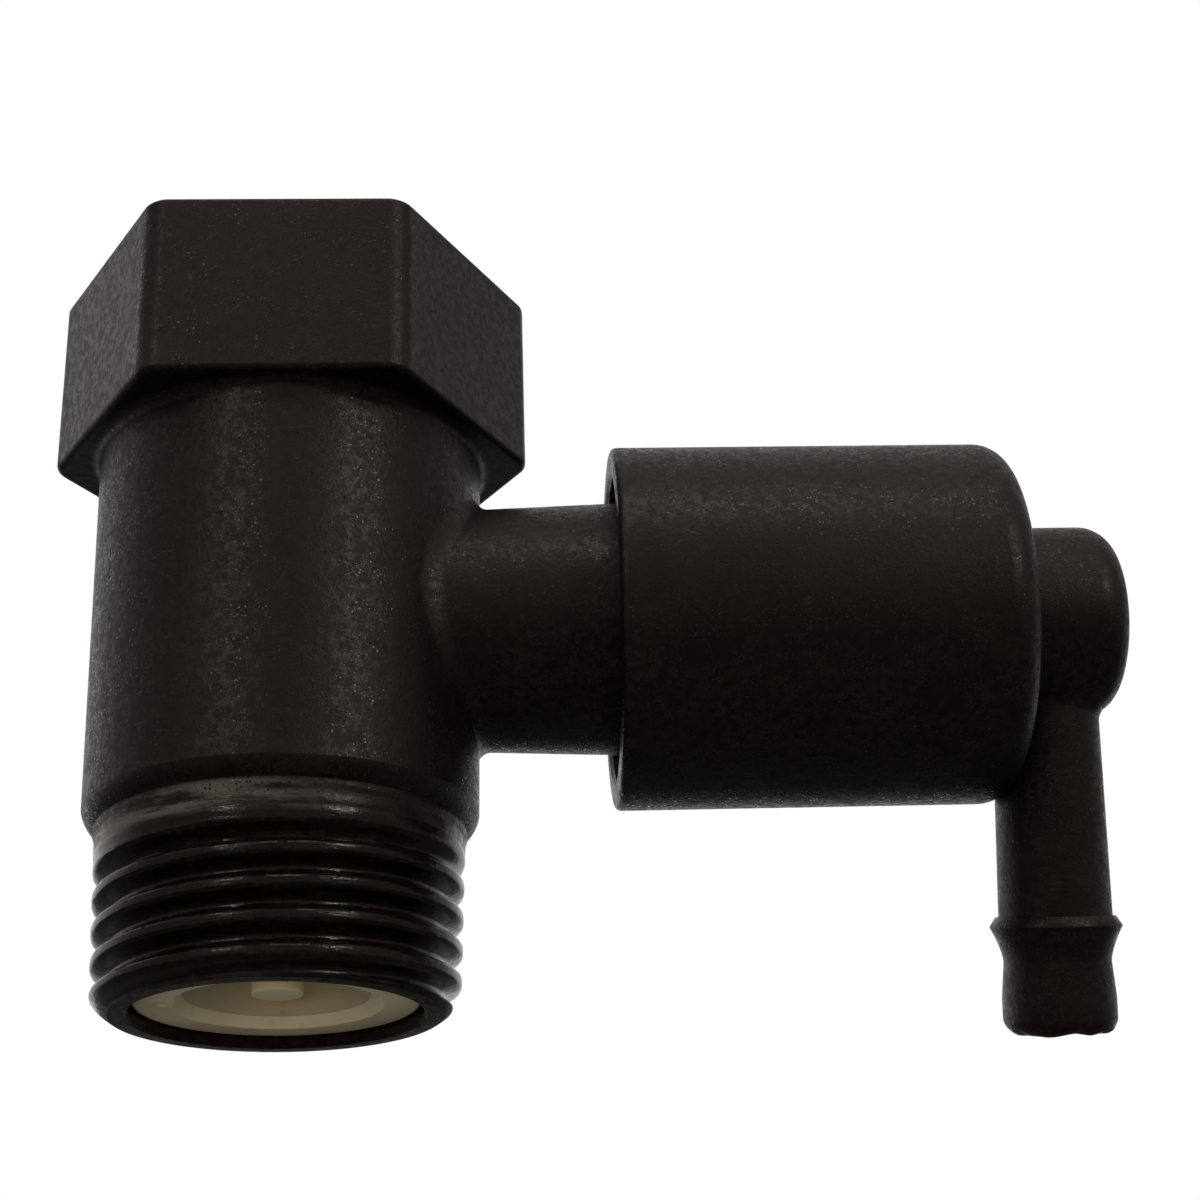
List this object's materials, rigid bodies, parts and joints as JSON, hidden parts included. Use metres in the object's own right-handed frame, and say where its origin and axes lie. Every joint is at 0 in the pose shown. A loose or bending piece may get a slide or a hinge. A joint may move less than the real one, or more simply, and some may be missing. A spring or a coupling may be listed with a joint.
{
  "type": "non-return valve",
  "caption": "Moulded non-return valve with a threaded inlet, a hexagon socket end and a relief branch whose cap turns a barbed hose tail.",
  "frame": {"origin": "centre of the annular end face of the threaded inlet", "axes": "+Z along the body's bore from the threaded inlet to the hexagon socket, +X along the relief branch to its hub"},
  "size_m": [0.0643, 0.0254, 0.0467],
  "materials": {
    "black_nylon": "satin glass-filled nylon with a fine mottled grain",
    "ivory_acetal": "smooth ivory acetal",
    "black_rubber": "matt moulded rubber",
    "spring_steel": "bright stainless steel"
  },
  "bodies": {
    "body": {"valve_body": "black_nylon", "check_seat_ring": "ivory_acetal", "cartridge_o_ring": "black_rubber", "check_guide": "ivory_acetal", "check_spring": "spring_steel", "cap_o_ring": "black_rubber", "relief_spring": "spring_steel"},
    "poppet": {"check_poppet": "ivory_acetal", "check_washer": "black_rubber"},
    "piston": {"relief_piston": "ivory_acetal", "relief_washer": "black_rubber"},
    "outlet": {"outlet_cap": "black_nylon", "cap_snap_ring": "black_nylon", "spring_thrust_washer": "spring_steel"}
  },
  "joints": [
    {"name": "check_lift", "type": "slide", "parent": "body", "child": "poppet", "axis": [0, 0, 1], "range_m": [0, 0.003], "stiffness_N_per_m": 60, "deforming": ["check_spring"]},
    {"name": "relief_lift", "type": "slide", "parent": "body", "child": "piston", "axis": [1, 0, 0], "range_m": [0, 0.002], "stiffness_N_per_m": 5000, "deforming": ["relief_spring"]},
    {"name": "outlet_swivel", "type": "hinge", "parent": "body", "child": "outlet", "pos_m": [0.0317, 0, 0.02304], "axis": [1, 0, 0], "continuous": true}
  ]
}
